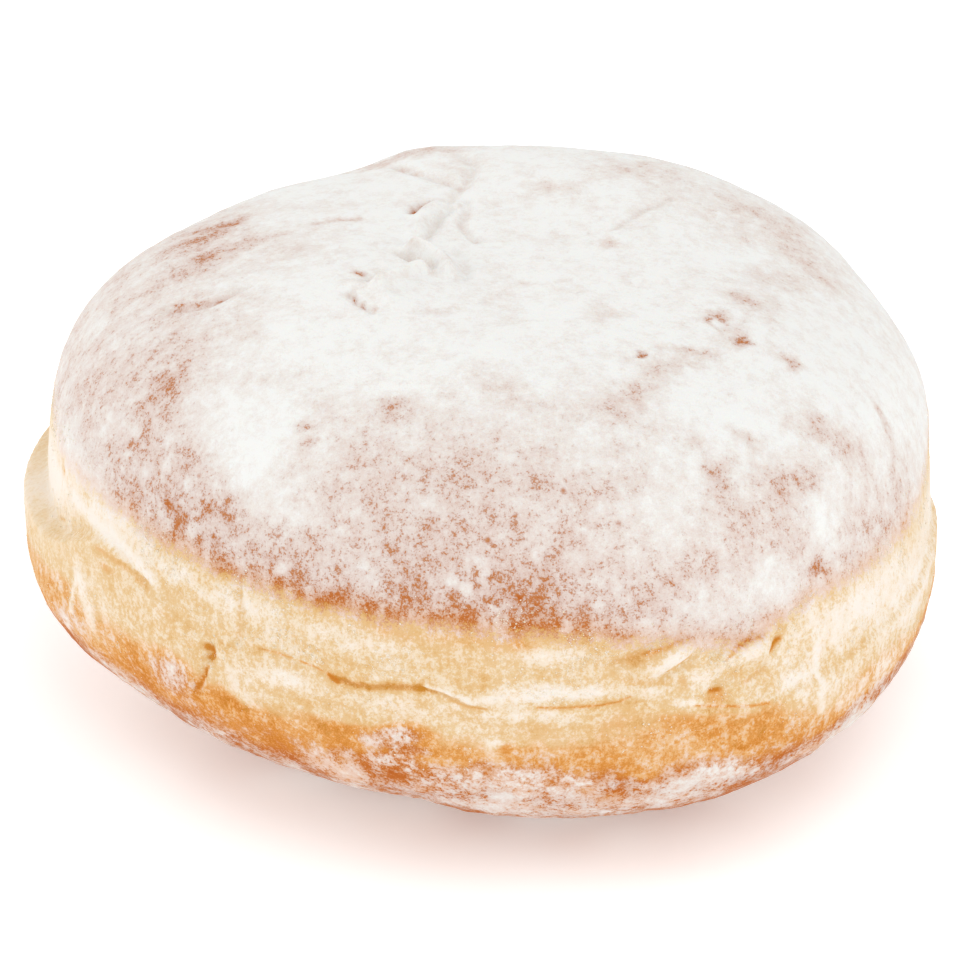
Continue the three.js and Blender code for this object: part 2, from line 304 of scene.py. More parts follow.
def bunSurface(azimuth, elevation):
    # The section leans, steps in above the seam and swells along the ray; the crack, folds and fine
    # waves then lift it along its normal. Returns the places and what the painting needs.
    r, z = section(azimuth, elevation)
    power, reach = powerAndReach(z)
    radius = planRadius(azimuth)
    out = (np.maximum(r, 0) / radius) ** (power - 1) / radius
    up = np.sign(z) * (np.abs(z) / reach) ** (power - 1) / reach
    a = np.radians(azimuth)
    normal = unit(np.stack([out * np.cos(a), out * np.sin(a), up], axis=-1))

    # seam, lean and swells
    waist = bun["waistRadius"] * direction(azimuth, 0 * azimuth)
    wander = uneven(waist, "seam") + uneven(waist, "seamFine")
    wander *= bell(elevation - seam["wander"][0], seam["wander"][1])
    aboveSeam = np.radians(elevation - seamAt(azimuth)) * np.hypot(r, z) + wander
    upper = smooth(aboveSeam, -seam["ledgeRise"] / 2, seam["ledgeRise"] / 2)
    inset = (bun["crownInset"] + bellsAlong(azimuth, seam["ledges"])) * upper
    across = r - inset * np.minimum(1, r / (bun["waistRadius"] / 2))
    x = across * np.cos(a) + bun["crownShift"] * upper
    y = across * np.sin(a)
    leaning = smooth(z, -bun["baseDepth"], 0)
    z = z + leaning * (bun["leanRight"] * x + bun["leanBack"] * y) / bun["waistRadius"]
    p = np.stack([x, y, z], axis=-1)
    u = unit(p)
    for atAzimuth, atElevation, spread, height in bun["swells"]:
        apart = np.linalg.norm(u - direction(atAzimuth, atElevation), axis=-1)
        p = p + (height * bell(apart, math.radians(spread)))[..., None] * u

    # crack, folds and waves
    crackHalf = seam["crackHalfWidth"]
    crack = np.minimum(1, seam["crackFaint"] + bellsAlong(azimuth, seam["crackStretches"]))
    groove = -seam["crackDepth"] * crack * bell(aboveSeam, crackHalf)
    lip = seam["crackLip"] * crack * bell(aboveSeam - seam["crackLipAt"], seam["crackLipAt"])
    droop = seam["crackDroop"] * crack * bell(aboveSeam - crackHalf, crackHalf)
    crownTop = bun["crownHeight"]
    onCrown = smooth(p[..., 2], crownTop - folds["crownFrom"], crownTop - folds["crownTo"])
    crownFold = onCrown * foldHeights(p[..., 0], p[..., 1], folds["crown"])
    along = turnBetween(azimuth, 0) * mmPerDegree
    beltFold = foldHeights(along, p[..., 2] + bun["standHeight"], folds["belt"], mmPerDegree)
    beltFold = (1 - onCrown) * beltFold
    waves = sum(h * np.sin(u @ np.array([i, j, k])) for i, j, k, h in bun["doughWaves"])
    lift = (groove + lip + crownFold + beltFold + waves) * leaning
    p = p + lift[..., None] * normal
    p[..., 2] += bun["standHeight"] - droop
    return {
        "place": p,
        "normal": normal,
        "aboveSeam": aboveSeam,
        "crack": crack * bell(aboveSeam, 1.9 * crackHalf),
        "hollow": np.maximum(0, -(crownFold + beltFold)),
    }


# Sugar cover and tone over the surface: a base value, then strokes painted over it in order, each a
# soft ellipse that pulls what lies under it towards its own value.
# Tones: 0 pale dough, 1 golden, 2 brown, 3 greyish pink where sugar dusts a browned crust.
crown = {  # laid flat: x and y in mm from the top, distances measured along the skin
    "full": 0.96,
    "rimCover": [  # azimuth, cover
        (-180, 0.74), (-150, 0.63), (-125, 0.58), (-90, 0.61), (-60, 0.64), (-35, 0.72),
        (-15, 0.9), (30, 0.92), (60, 0.8), (100, 0.75), (140, 0.7),
    ],
    "thinFrom": [  # azimuth, mm from the top
        (-180, 24), (-140, 26), (-90, 24), (-40, 34), (0, 38), (90, 32),
    ],
    "thinOver": 17.0,
    "marksShift": 0.2,  # share of the side's warp
    "strokes": [  # x, y, half length, half width, turn, cover
        (-33, 5, 16, 8, 75, 0.72), (-24, 4, 8, 5, 60, 0.8), (-31, 11, 6, 3, 60, 0.56),  # worn back left
        (-31, 4, 4.5, 3, 70, 0.58), (-29.5, 14.2, 2, 1.1, 0, 0.4), (-31.6, 10.4, 2.4, 1.2, 0, 0.38),
        (-31.4, 5, 1.2, 1, 0, 0.3), (-26.2, 6.2, 2.6, 2, 20, 0.5), (-28.6, -12, 5, 3, 10, 0.72),
        (-36, -16, 7, 4, 15, 0.62), (-46, -14, 6, 4, 60, 0.62),  # left shoulder
        (-42, -27, 8, 6, -50, 0.55),
        (-24, -31, 6, 11, 20, 0.98),  # white wedge at the front left
        (-33, -36, 9, 4, -50, 0.56), (-37, -34, 2.6, 0.7, -82, 0.32),  # along the left rim
        (-33.6, -36.8, 1.6, 0.6, 48, 0.34), (-35.4, -39.2, 1.1, 0.7, 0, 0.38),
        (-33.2, -41, 1.6, 0.7, 50, 0.36), (-30.8, -41.8, 1.4, 0.8, 50, 0.38),
        (-24, -45, 10, 3.5, -28, 0.56),
        (-8, -51.6, 12, 2.2, -6, 0.56), (9, -52, 6, 2.2, 0, 0.46),  # brown rim in front
        (20, -49, 7, 3, 12, 0.5), (-9.4, -30.4, 2.4, 1.3, 0, 0.36), (-19.1, -31.2, 1.2, 0.8, 0, 0.6),
        (-19.2, -33.8, 1.2, 0.9, 0, 0.55), (-2, -31, 9, 3, 0, 0.82), (3, -45, 12, 4, 0, 0.58),
        (-20, -37, 4, 3, 0, 0.74), (13, -31, 6, 3, 65, 0.76), (13, -30, 1.4, 0.8, 60, 0.55),
        (17, -22, 6, 1.6, 45, 0.72), (15, -19.5, 0.8, 0.5, 40, 0.35),  # thin line behind the white band
        (23, -13, 4.4, 2, 65, 0.7), (24, -14, 1.8, 0.9, 65, 0.3), (22.5, -9.5, 1.3, 0.9, 65, 0.45),
        (28, -5, 5, 2.4, 65, 0.78), (26.8, -5.8, 1.5, 0.8, 40, 0.5), (18.8, -18.2, 2.2, 0.8, 5, 0.6),
        (24, -29, 16, 4.5, 60, 1.0), (38, -15, 10, 5, 10, 0.97),  # white band
        (35, -24, 6, 2.4, 10, 0.64), (31, -32, 4, 2.6, 50, 0.6), (23, -37, 5, 3, 40, 0.68),
        (36, -33, 4, 3, 0, 0.86), (38, -38, 2, 1.2, 10, 0.3), (44, -30, 6, 3.4, 55, 0.58),
        (49, -21, 9, 4, 70, 0.62),
        (28, 13, 11, 6, -25, 0.78), (30, 14, 5, 3, -25, 0.7), (15, 19, 5, 4, 0, 0.82),  # back right
        (34, 7, 5, 3, 60, 0.8), (13, 4, 1.6, 1.4, 0, 0.72), (0, -10, 2.4, 1.8, 30, 0.85),
        (29.4, 3, 3.2, 2.2, 0, 0.7), (33.6, 8, 3, 1.2, -40, 0.66), (30, -15, 1.6, 1.1, 0, 0.56),
        (14.5, -27, 3.2, 1.3, 35, 0.56), (25.2, -29.4, 1.5, 1, 0, 0.6), (21.9, -33.5, 2.8, 2, 0, 0.5),
        (43.5, -16, 5, 1.3, -34, 0.66), (7, 16, 2.4, 2, 0, 0.78), (14.8, 20, 4, 3.2, 0, 0.72),
        (11, -13, 2.2, 1.5, 20, 0.8), (-6, -13.6, 2.2, 1.2, 10, 0.78),
        (-34.6, -19, 3.4, 2.4, 30, 0.42),  # left
        (-2, -47, 7, 3, 0, 0.5),  # front
        (31, -43, 5, 3, 40, 0.82), (24, -48.5, 6, 2.2, 25, 0.72),  # white over the right rim
        (-9, 27.5, 6, 2, 10, 0.6),  # back left edge
        (-12, 42, 12, 5, 10, 0.6), (18, 47, 9, 5, -20, 0.55), (44, 30, 8, 5, -60, 0.6),  # behind
        (-44, 26, 9, 5, 60, 0.62),
    ],
    "marks": [  # paths in mm, half width, cover: lines of the creases, partly bare crust and partly painted shade in their hollows
        ([(-8.2, 11.2), (-8, 12.6), (-6.2, 13.6), (-5, 13.8)], 0.3, 0.2),
        ([(-3.4, 12.9), (-3.1, 13.1)], 0.25, 0.5), ([(-14.6, -5.6), (-13.6, -6.2)], 0.4, 0.25),
        ([(-12.5, -5), (-10.5, -7)], 0.4, 0.78), ([(-12.6, -7.4), (-11.8, -8)], 0.35, 0.66),
        # painted shade: darker spots in the dimples between the puffs
        ([(-6.4, -4.4), (-6, -5)], 0.4, 0.74), ([(-9, 1.4), (-8.6, 0.8)], 0.35, 0.74),
        ([(-14.5, -10), (-13.4, -12), (-11.8, -13.4)], 0.22, 0.5),
        ([(-35, -4.6), (-33, -6), (-30.5, -6.8), (-28, -6.6)], 0.35, 0.55),
        ([(-19, 9.4), (-16.4, 10.2), (-14, 9.8)], 0.5, 0.62),
        ([(22.4, -9.4), (21.8, -12.2), (23, -13.4)], 0.32, 0.55),
        ([(27, -5.8), (26, -9.2), (24.8, -12.6)], 0.35, 0.7),
        ([(12.5, 7), (15, 11), (18.5, 15)], 0.25, 0.82),
        ([(-2.6, 11), (-3.2, 8.4), (-1.8, 4.6)], 0.4, 0.88),
        ([(-5, 11), (-6, 8.6), (-7, 4.8)], 0.4, 0.88),
        ([(-3.2, 22.5), (-2.6, 19.5), (-4, 15)], 0.4, 0.88), ([(-9.4, 24.4), (-7.4, 22.2)], 0.4, 0.7),
        ([(-7.4, 22.2), (-4.4, 19)], 0.25, 0.85), ([(3, -6.2), (5, -6.4), (8, -5.4)], 0.35, 0.76),
    ],
}

side = {  # unrolled: azimuth in degrees and height over the stand in mm
    "crustEdge": [  # azimuth, height
        (-180, 32.6), (-165, 32.4), (-150, 32.2), (-135, 31.2), (-120, 30.6), (-105, 30.5),
        (-95, 30.6), (-85, 30.4), (-76, 29.9), (-72, 28.8), (-68, 28.9), (-65, 27.4), (-62, 26.4),
        (-59, 27), (-55, 27.2), (-50, 28.8), (-45, 28.6), (-38, 28), (-28, 27.8), (-10, 28.4),
        (20, 29), (60, 30), (100, 31), (150, 32),
    ],
    "baseEdge": [
        (-180, 20), (-160, 20.4), (-145, 19.6), (-133, 19.4), (-122, 18), (-110, 18.2),
        (-100, 18.8), (-92, 19), (-80, 18.4), (-70, 20.4), (-62, 20.4), (-55, 19), (-48, 17),
        (-35, 16), (0, 16.4), (50, 17), (95, 18.5), (140, 18),
    ],
    "edgeBlur": 1.6,
    "upright": (1, 1, 0.35),  # makes the noise of the side taller than wide
    "bands": [(0.2, 1.5), (2.5, 2.5), (-0.9, 1.6)],  # rim, its halo, gilt: mm over the edge, width
    "wornRim": [  # bare browned rim: azimuth, spread, loss of cover
        (-108, 24, 0.3), (-85, 8, 0.27),
    ],
    "wornLeast": 0.25,
    "wornHalo": 0.4,
    "wornMean": 0.7,
    "giltRim": [  # golden edge of the belt under the crust: azimuth, spread, strength
        (-102, 14, 0.6), (-86, 9, 0.9),
    ],
    "giltMean": 0.9,
    "giltTone": 0.7,
    "giltCover": -0.12,
    "beltCover": 0.51,
    "baseCover": 0.43,
    "footCover": 0.42,
    "footTone": 1.7,
    "beltMottle": 0.12,
    "footMottle": 0.3,
    "footHeight": 15,
    "patchyBase": 0.55,
    "crackTone": 0.3,
    "crackCover": 0.16,
    "calm": [(180, 26, 0.85), (-5, 22, 0.8)],  # smooth dough: azimuth, spread, strength
    "marksShift": 0.15,  # share of the warp
    "strokes": [  # azimuth, height, half length, half height, turn, cover, tone
        (-172, 29, 14, 5, 20, 1.0, 0.1), (-166, 32.2, 12, 1.7, -4, 0.8, 0),
        (-149, 31.2, 7, 1.5, -6, 0.84, 0), (-148, 27.2, 5, 1, -10, 0.5, 0.1),
        (-149, 26, 1.6, 0.6, 0, 0.3, 0.5), (-152, 24.6, 10, 0.9, 0, 0.5, 0.1),
        (-140, 22.8, 5, 1.4, 0, 0.5, 0.1), (-155, 21, 1, 4, 15, 0.95, 0.2),
        (-162, 19.5, 5, 1.5, 10, 0.5, 0.9), (-160, 16.6, 4, 1.6, 10, 0.75, 1.8),
        (-144, 17.6, 2.6, 1.3, 0, 0.3, 0.9), (-144, 14.4, 9, 2.4, 0, 0.33, 1.2),
        (-138, 17.4, 3.6, 2.4, 0, 0.62, 2.1), (-124, 28.6, 4, 1.4, 0, 0.86, 0.05),
        (-136, 29.2, 5, 1.2, 0, 0.84, 0), (-120, 25.6, 6, 0.9, 0, 0.62, 0.1),
        (-125, 22, 4, 1.4, 0, 0.68, 0.1), (-117, 21.8, 3.4, 1.4, 0, 0.86, 0.1),
        (-112, 20.2, 5, 1.3, 0, 0.38, 0.15), (-111, 18.2, 4.4, 0.9, 0, 0.26, 0.9),
        (-126, 17.2, 4, 1, 0, 0.28, 0.95), (-125, 19.2, 2.4, 1.2, -30, 0.8, 0.3),
        (-123, 13.6, 8, 2.2, 0, 0.26, 1.35), (-112, 12.4, 5, 2.6, 0, 0.6, 1.9),
        (-99, 12.6, 4, 1.6, 0, 0.56, 2.4), (-108, 28, 7, 1.3, 0, 0.72, 0.1),
        (-102, 21.6, 4, 1.5, 0, 0.68, 0.2), (-103, 18.2, 3.8, 1.3, 10, 0.62, 2.4),
        (-101.5, 16.8, 3, 0.8, 0, 0.42, 2.2), (-102.5, 15.2, 3, 0.9, 0, 0.64, 2.4),
        (-102.6, 13.5, 2.5, 1.1, 10, 0.14, 2), (-100, 11.2, 1, 0.6, 30, 0.25, 1.9),
        (-91.5, 25.4, 3, 1.8, 0, 0.4, 0.15), (-93, 27.6, 3.4, 1, 0, 0.55, 0.2),
        (-82, 28.2, 3.6, 1, 0, 0.85, 0.1), (-80, 26.2, 5, 1, 0, 0.45, 0.1),
        (-84, 24.2, 9, 0.9, 4, 0.86, 0.1), (-90.4, 18.8, 0.8, 1.6, 0, 0.92, 0.1),
        (-93.5, 21.6, 2, 1.2, 0, 0.45, 0.2), (-86, 20.2, 5, 1.4, 0, 0.42, 0.25),
        (-86, 22.2, 5, 0.6, 0, 0.82, 0.1), (-89.3, 18, 1.4, 0.7, 20, 0.25, 0.95),
        (-92, 16, 1.4, 0.7, 0, 0.25, 1.7), (-92, 13.6, 6, 2, 0, 0.56, 2.5),
        (-86, 15, 5, 1.6, 0, 0.6, 2.3), (-86.5, 13.6, 2, 0.7, 0, 0.42, 2),
        (-80, 12.6, 6, 1.8, 0, 0.62, 2.6), (-90, 9.8, 9, 1.6, 0, 0.66, 2.7),
        (-80, 9.4, 6, 1.6, 0, 0.56, 2.6), (-79, 13, 1, 0.8, -20, 0.35, 1.4),
        (-75.6, 11.6, 2.2, 1, 0, 0.35, 1.4), (-75, 20.6, 3.6, 2, 0, 0.35, 0.4),
        (-72, 25.2, 3, 0.8, 0, 0.4, 0.25), (-73, 27.6, 2.2, 0.7, 12, 0.36, 0.5),
        (-71.8, 24, 1.6, 0.5, 5, 0.84, 0), (-68.6, 27.4, 2.3, 0.95, 22, 0.98, 0),
        (-69, 17.6, 6, 1.7, 0, 0.42, 1), (-73, 15.4, 2.6, 1, 0, 0.3, 1),
        (-66, 19.8, 4, 0.9, -20, 0.33, 0.9), (-66, 22, 2, 0.6, -12, 0.82, 0.1),
        (-58, 18.4, 3.4, 1.6, 0, 0.34, 0.9), (-54, 15.4, 1.6, 2, 20, 0.35, 1.1),
        (-60, 16, 3, 0.5, 5, 0.28, 1.1), (-64, 13, 4.6, 1.9, 0, 0.76, 2.6),
        (-70, 10.4, 5, 1.4, 0, 0.62, 2.5), (-65, 24.8, 2, 1.2, 0, 0.8, 0.1),
        (-58.4, 26.1, 2.3, 1.0, 3, 0.96, 0), (-59, 24.6, 2, 0.6, 0, 0.4, 0.1),
        (-62.9, 22.3, 1.5, 1, 0, 0.3, 0.45), (-51.7, 21.3, 2.0, 1.3, 0, 0.98, 0),
        (-47, 14.8, 3, 0.9, 0, 0.3, 1.1), (-45, 15.8, 1, 0.9, 0, 0.25, 1),
        (-44, 18.4, 5, 1.8, 0, 0.66, 0.15), (-38, 25, 12, 2.6, 0, 0.94, 0.1),
        (-25, 21.4, 12, 2.8, 0, 0.94, 0.1), (-36, 16.6, 9, 1.8, 0, 0.72, 1),
        (-48, 11.6, 3, 1, 0, 0.6, 1.8), (-38, 11.4, 7, 1.6, 0, 0.76, 2.5), (-5, 24, 14, 3, 0, 0.9, 0.1),
        (24, 26, 9, 1.2, 6, 0.82, 0.1), (38, 22, 5, 1.4, -8, 0.4, 0.2),  # far side
        (52, 27, 6, 1.5, 0, 0.44, 0.15), (61, 22.4, 8, 1, 5, 0.84, 0.1),
        (75, 25.6, 3, 1.6, 20, 0.36, 0.3), (84, 28.4, 7, 1.2, 0, 0.82, 0.05),
        (98, 23.5, 8, 1.2, -6, 0.8, 0.1), (112, 27, 5, 1.6, 10, 0.42, 0.15),
        (124, 24, 6, 1.1, 0, 0.86, 0.1), (139, 28, 8, 1.5, -5, 0.8, 0.05),
        (150, 23, 4, 1.3, 12, 0.4, 0.3), (30, 14, 6, 2, 0, 0.34, 1.5), (66, 15, 7, 1.6, 0, 0.36, 1.3),
        (90, 12, 6, 2, 0, 0.66, 2.4), (118, 15.5, 7, 1.6, 0, 0.34, 1.2),
        (142, 12.5, 6, 2, 0, 0.64, 2.4),
    ],
    "marks": [  # paths, half width in mm, cover, tone
        ([(-160, 30.2), (-150, 29.8), (-144, 28.8), (-140, 27.4)], 0.8, 1.05, 0),  # lip of the crown
        ([(-151, 27.8), (-145, 27.5), (-141, 26.4)], 0.4, 0.35, 0.4),
        ([(-111.2, 23.6), (-110.4, 23.3)], 0.36, 0.1, 0.9),  # end of the crack
        ([(-122, 24.5), (-119.6, 24.6), (-117, 24.5)], 0.13, 0.35, 0.7),
        ([(-115.6, 24.4), (-113.4, 24.2), (-112.4, 23.9)], 0.13, 0.3, 0.8),
        ([(-130.8, 22.6), (-129.6, 22), (-130.4, 21.3)], 0.45, 0, 0.7),  # split
        ([(-130.9, 20.3), (-131.4, 19.2), (-132, 18.3)], 0.26, 0.1, 1),
        ([(-132.6, 17.8), (-133.4, 16.6)], 0.3, 0.02, 0.95),
        ([(-125.4, 29.8), (-124.8, 27.6), (-125.2, 25)], 0.5, 0.42, 0.25),
        ([(-71.4, 28), (-68.6, 28.6), (-66, 29.2)], 0.2, 0.35, 0.9),  # above the petal
        ([(-69, 26), (-66.6, 26.9), (-65.6, 27.4)], 0.18, 0.4, 0.8),
        ([(-67, 24.7), (-66.7, 24)], 0.5, 0.38, 0.35),
        ([(-61.4, 26.1), (-59.8, 27), (-57.4, 27.3), (-55.8, 27.1)], 0.16, 0.3, 0.9),
        ([(-54.8, 25.3), (-54.2, 25.9), (-53.5, 26.2)], 0.34, 0.12, 0.8),
        ([(-63.4, 23), (-62.2, 22.9)], 0.24, 0.1, 0.8),
        ([(-59, 22.9), (-57.4, 23.2), (-56, 23.6)], 0.32, 0.4, 0.4),
        ([(-65.5, 21.9), (-62, 21.2), (-59, 20.7), (-56, 20.1)], 0.13, 0.36, 1.3),  # over the base
        (  # pale ridge beside the crack
            [(-98, 24.6), (-95, 23.9), (-92.6, 23.3), (-89.6, 23.7), (-86, 23.9), (-82.2, 24.3),
             (-77.3, 24.5)], 0.34, 0.9, 0,
        ),
        ([(-95.6, 23.3), (-93.4, 22.8), (-91, 22.6)], 0.13, 0.3, 0.5),
        ([(-84.5, 22.9), (-82.4, 22.9), (-78.9, 23.1), (-75.2, 23.3), (-73.6, 23.7)], 0.13, 0.32, 0.8),
        ([(-47.6, 28), (-47.9, 22), (-47.7, 17)], 0.5, 0.95, 0.1),
        ([(-167.4, 25), (-164, 26)], 0.25, 0.4, 0.3),
        ([(-168.6, 33.6), (-166.6, 32.6), (-164.8, 31.2)], 0.5, 0.42, 0.8),
        ([(-156.5, 22.5), (-158.6, 18)], 0.3, 0.98, 0.4),
        ([(-146.5, 27.8), (-143, 27.4), (-141, 26.9)], 0.3, 0.35, 0.3),
        ([(-139, 24.6), (-136.4, 24.2)], 0.3, 0.35, 0.3),
        ([(70, 27.4), (73, 26.6), (75.5, 26.9)], 0.22, 0.2, 0.7),  # far side
        ([(36, 20.2), (41, 20.8), (45, 20.4)], 0.16, 0.3, 0.9),
        ([(108, 21.2), (111, 21.6), (116, 21.1)], 0.18, 0.3, 0.9),
        ([(131, 26.4), (131.6, 24.8), (130.8, 23.2)], 0.28, 0.2, 0.8),
        ([(95, 30), (95.6, 27), (95, 24)], 0.3, 0.4, 0.3),
    ],
}


strokeFlatness = 1.4  # 1 is a plain bell, more is flatter on top
cornerShifts = (-4, -2, 0, 2, 4)  # degrees over which values round the bun are averaged


def around(azimuth, points):
    # values joined round the bun from azimuth and value pairs, with rounded corners
    at = np.array([p[0] % 360 for p in points])
    value = np.array([p[1] for p in points])
    order = np.argsort(at)
    at, value = at[order], value[order]
    turns = [np.interp((azimuth + shift) % 360, at, value, period=360) for shift in cornerShifts]
    return sum(turns) / len(turns)


def pulled(base, weight, values):
    # each layer moved towards its value by the weight
    return [layer + weight * (value - layer) for layer, value in zip(base, values)]


def painted(base, x, y, strokes):
    # pulls base towards the last values of each stroke by a flat-topped bell of its tilted ellipse;
    # base holds one layer per value, x takes the stroke's own centre
    for atX, atY, halfLength, halfWidth, turn, *values in strokes:
        c, s = math.cos(math.radians(turn)), math.sin(math.radians(turn))
        dx, dy = x(atX), y - atY
        d2 = ((dx * c + dy * s) / halfLength) ** 2 + ((dy * c - dx * s) / halfWidth) ** 2
        base = pulled(base, np.exp(-(d2**strokeFlatness)), values)
    return base


def lined(base, x, y, paths, scale=1):
    # pulls base towards the values of each path by a bell of the distance to it
    for path, halfWidth, *values in paths:
        base = pulled(base, bell(distanceToPath(x, y, path, scale), halfWidth), values)
    return base


def skinDistance(elevation):
    # distance from the top along the mean section
    fine = np.linspace(90, -60, grid["sideSteps"])
    return np.interp(-elevation, -fine, lengthAlong(fine))


def coverAndTone(azimuth, elevation, place, crack):
    # Base values by zone, each zone faded in by an S curve over its edge; then the strokes and marks
    # of the crown and of the side. Returns the painted values and the height over the crust's edge.
    height = place[..., 2]
    drift = swaying(place, "crownWarp") + swaying(place, "crownFray")
    s = skinDistance(elevation)
    a = np.radians(azimuth)
    flatX, flatY = s * np.cos(a), s * np.sin(a)
    x, y = flatX + drift[0], flatY + drift[1]
    thinFrom = around(azimuth, crown["thinFrom"]) + uneven(place, "thinFrom")
    thinning = smooth(s, thinFrom, thinFrom + crown["thinOver"])
    full = crown["full"]
    cover = full + (around(azimuth, crown["rimCover"]) - full) * thinning
    (cover,) = painted([cover], lambda at: x - at, y, crown["strokes"])

    # crust and its worn rim
    ragged = place * side["upright"]
    blur = side["edgeBlur"]
    crustEdge = around(azimuth, side["crustEdge"]) + uneven(ragged, "crustEdge")
    above = height - crustEdge
    rim, halo, gilt = (bell(above - at, width) for at, width in side["bands"])
    crust = smooth(above, -blur, blur)
    worn = (rim + side["wornHalo"] * halo) * (side["wornMean"] + uneven(ragged, "wornRim"))
    worn = cover - bellsAlong(azimuth, side["wornRim"]) * worn
    cover = np.maximum(worn, np.minimum(cover, side["wornLeast"]))

    # browned base, foot and belt
    baseEdge = around(azimuth, side["baseEdge"]) + uneven(ragged, "baseEdge")
    base = 1 - smooth(height, baseEdge - blur, baseEdge + blur)
    footTop = side["footHeight"] + uneven(ragged, "foot")
    foot = 1 - smooth(height, footTop - 3, footTop + 2)
    tone = base * (1 + side["footTone"] * foot + uneven(place, "tone"))
    low = side["beltCover"] + base * (side["baseCover"] - side["beltCover"])
    low = low + foot * (side["footCover"] - side["baseCover"])
    low = low + (side["beltMottle"] + side["footMottle"] * foot) * uneven(ragged, "cover")
    patchy = np.maximum(np.maximum(smooth(above, -0.4, 0.6), foot), side["patchyBase"] * base)
    gilt = gilt * bellsAlong(azimuth, side["giltRim"]) * (1 - crust)
    gilt = gilt * (side["giltMean"] + uneven(ragged, "giltRim"))
    tone = tone + side["giltTone"] * gilt
    low = low + side["giltCover"] * gilt
    cover = low + crust * (cover - low)
    drift = swaying(place, "sideWarp")

    def alongSide(at):
        # mm along the waist from that azimuth
        return turnBetween(azimuth, at) * mmPerDegree + drift[0]

    cover, tone = painted([cover, tone], alongSide, height + drift[1], side["strokes"])

    # marks of the crown, with painted shade in its creases, the crack and marks of the side
    shift = crown["marksShift"] * drift
    marked = lined([cover], flatX + shift[0], flatY + shift[1], crown["marks"])
    (cover,) = pulled([cover], smooth(s, 45, 40), marked)
    split = np.minimum(1, 1.4 * crack)
    cover, tone = pulled([cover, tone], split, [side["crackCover"], side["crackTone"]])
    shift = side["marksShift"] * drift
    along = turnBetween(azimuth, 0) * mmPerDegree + shift[0]
    marked = lined([cover, tone], along, height + shift[1], side["marks"], mmPerDegree)
    cover, tone = pulled([cover, tone], smooth(height, 33, 31), marked)
    calm = bellsAlong(azimuth, side["calm"]) * smooth(height, 20, 24) * (1 - crust)
    patchy = patchy * (1 - split)
    return dict(cover=cover, tone=tone, crust=crust, rim=rim, patchy=patchy, calm=calm), above


def addObject(name, data):
    # an object of the scene
    obj = bpy.data.objects.new(name, data)
    bpy.context.scene.collection.objects.link(obj)
    return obj


def addMesh(name, vertices, faces, attributes=None):
    # a mesh object in metres with smooth faces and one number per vertex for each attribute
    mesh = bpy.data.meshes.new(name)
    mesh.from_pydata(np.asarray(vertices) * mm, [], faces)
    mesh.validate()
    mesh.polygons.foreach_set("use_smooth", np.ones(len(mesh.polygons), dtype=bool))
    for label, values in (attributes or {}).items():
        layer = mesh.attributes.new(label, "FLOAT", "POINT")
        layer.data.foreach_set("value", np.asarray(values, dtype=np.float32).ravel())
    return addObject(name, mesh)


def latheFaces(rows, columns, bottom, top):
    # quads between neighbouring rings, and a fan round each pole
    at = np.arange(rows * columns).reshape(rows, columns)
    right = np.roll(at, -1, axis=1)
    quads = np.stack([at[:-1], right[:-1], right[1:], at[1:]], axis=-1).reshape(-1, 4)
    under = np.stack([np.full(columns, bottom), right[0], at[0]], axis=-1)
    over = np.stack([at[-1], right[-1], np.full(columns, top)], axis=-1)
    return quads.tolist() + under.tolist() + over.tolist()


relief = {  # mm
    "sugar": 0.22,  # thickness of a full cover
    "calmed": 0.9,  # share that smooth dough loses
}


def makeBun():
    # The wrinkles and waves of the bare dough, and the sugar by its cover, lift the surface along its
    # normal. Returns the piece, and its skin for the grains.
    azimuth, elevation = gridDirections()
    surface = bunSurface(azimuth, elevation)
    place, normal = surface["place"], surface["normal"]
    middle = (place[..., :2].min((0, 1)) + place[..., :2].max((0, 1))) / 2
    height = place[..., 2]
    dust, aboveCrust = coverAndTone(azimuth, elevation, place, surface["crack"])
    cover, bare, calm = dust["cover"], 1 - dust["crust"], dust["calm"]

    lift = bare * uneven(place, "flute") * (1 - calm)
    lift += bare * uneven(place, "dough")
    lift += relief["sugar"] * smooth(cover, 0.2, 1.05)
    lift += uneven(place, "sugar") * smooth(cover, 0.2, 0.9)
    lift *= smooth(height, 0.5, 4) * (1 - relief["calmed"] * calm)
    place = place + (lift - relief["sugar"])[..., None] * normal
    place[..., :2] -= middle
    place[0, :, 2] = 0
    place[..., 2] = np.maximum(place[..., 2], 0)

    rows, columns = azimuth.shape
    vertices = np.concatenate([place.reshape(-1, 3), [(0, 0, 0)], [place[-1].mean(0)]])
    faces = latheFaces(rows, columns, rows * columns, rows * columns + 1)
    attributes = {**dust, "shadow": np.maximum(surface["crack"], surface["hollow"])}
    for label, values in attributes.items():
        attributes[label] = np.concatenate([values.ravel(), [values[0].mean()], [values[-1].mean()]])
    print("bun", len(vertices), "vertices")
    piece = addMesh("bun", vertices, faces, attributes)
    return piece, {**surface, **dust, "place": place, "height": height, "aboveCrust": aboveCrust}


grains = {
    "count": 10000,
    "seed": 7,
    "radius": 0.06,  # median in mm
    "spread": 0.34,  # of the logarithm of the radius
    "largest": 0.15,
    "shape": (1, 0.8, 0.6),  # length, width and height
    "sunk": 0.75,  # share of the radius below the surface
    "rim": (1.0, -0.6, 2.2),  # density, mm over the browned crust's edge, width
    "seam": (0.5, 1.5, 0.9),  # density, mm over the seam, width
    "belt": 0.12,
    "calmed": 0.9,
}


def octahedron():
    # corners on the axes, and a face for each of the eight ways to choose one end of every axis
    corners = np.concatenate([np.eye(3), -np.eye(3)])
    faces = []
    for x, y, z in np.ndindex(2, 2, 2):
        face = (3 * x, 3 * y + 1, 3 * z + 2)
        faces.append(face if (x + y + z) % 2 == 0 else (face[0], face[2], face[1]))
    return corners, np.array(faces)


